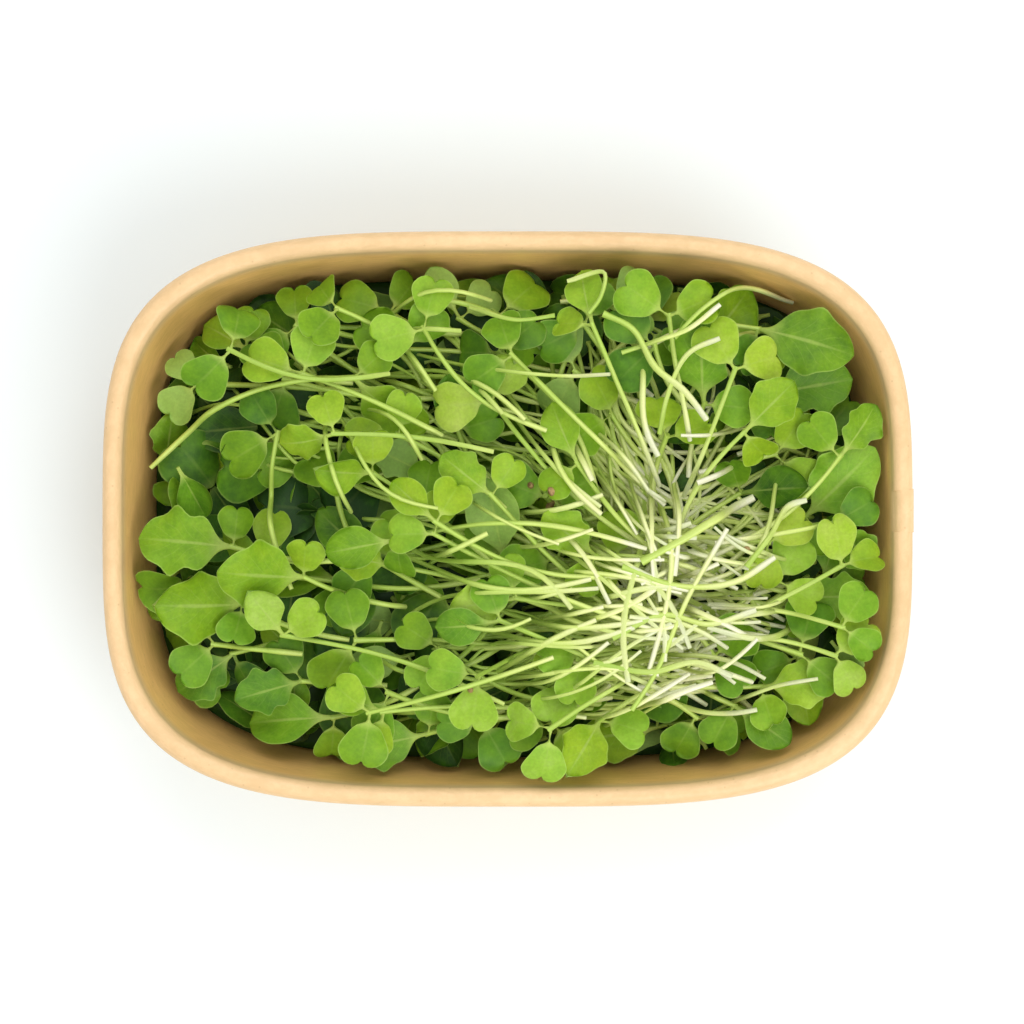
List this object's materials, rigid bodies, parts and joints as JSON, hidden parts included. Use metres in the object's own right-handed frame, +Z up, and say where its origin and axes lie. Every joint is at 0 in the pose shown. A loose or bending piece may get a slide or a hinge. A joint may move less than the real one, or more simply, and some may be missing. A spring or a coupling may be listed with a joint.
{
  "type": "tray of arugula microgreens",
  "caption": "Oblong kraft board tray with a rolled rim, filled with a loose heap of cut arugula microgreens with heart-shaped seed leaves and pale stems.",
  "frame": {"origin": "centre of the tray's foot, in the plane it stands on", "axes": "+Z up, +X along the tray towards its lap seam, +Y across it"},
  "size_m": [0.172, 0.122, 0.0574],
  "materials": {
    "kraft_sleeve": "matt kraft board, smooth rolled rim",
    "kraft_base": "matt kraft board",
    "lower_greens": "soft leaf, dull green",
    "greens": "soft leaf with pale stems"
  },
  "bodies": {
    "root": {"tray_wall": "kraft_sleeve", "tray_base": "kraft_base", "sprout_bed": "lower_greens", "sprout_01": "greens", "sprout_02": "greens", "sprout_03": "greens", "sprout_04": "greens", "sprout_05": "greens", "sprout_06": "greens", "sprout_07": "greens", "sprout_08": "greens", "sprout_09": "greens", "sprout_10": "greens", "sprout_11": "greens", "sprout_12": "greens", "sprout_13": "greens", "sprout_14": "greens", "sprout_15": "greens", "sprout_16": "greens", "sprout_17": "greens", "sprout_18": "greens", "sprout_19": "greens", "sprout_20": "greens", "sprout_21": "greens", "sprout_22": "greens", "sprout_23": "greens", "sprout_24": "greens", "sprout_25": "greens", "sprout_26": "greens", "sprout_27": "greens", "sprout_28": "greens", "sprout_29": "greens", "sprout_30": "greens", "sprout_31": "greens", "sprout_32": "greens", "sprout_33": "greens", "sprout_34": "greens", "sprout_35": "greens", "sprout_36": "greens", "sprout_37": "greens", "sprout_38": "greens", "sprout_39": "greens", "sprout_40": "greens", "sprout_41": "greens", "sprout_42": "greens", "sprout_43": "greens", "sprout_44": "greens", "sprout_45": "greens", "sprout_46": "greens", "sprout_47": "greens", "sprout_48": "greens", "sprout_49": "greens", "sprout_50": "greens", "sprout_51": "greens", "sprout_52": "greens", "sprout_53": "greens", "sprout_54": "greens"}
  },
  "joints": []
}
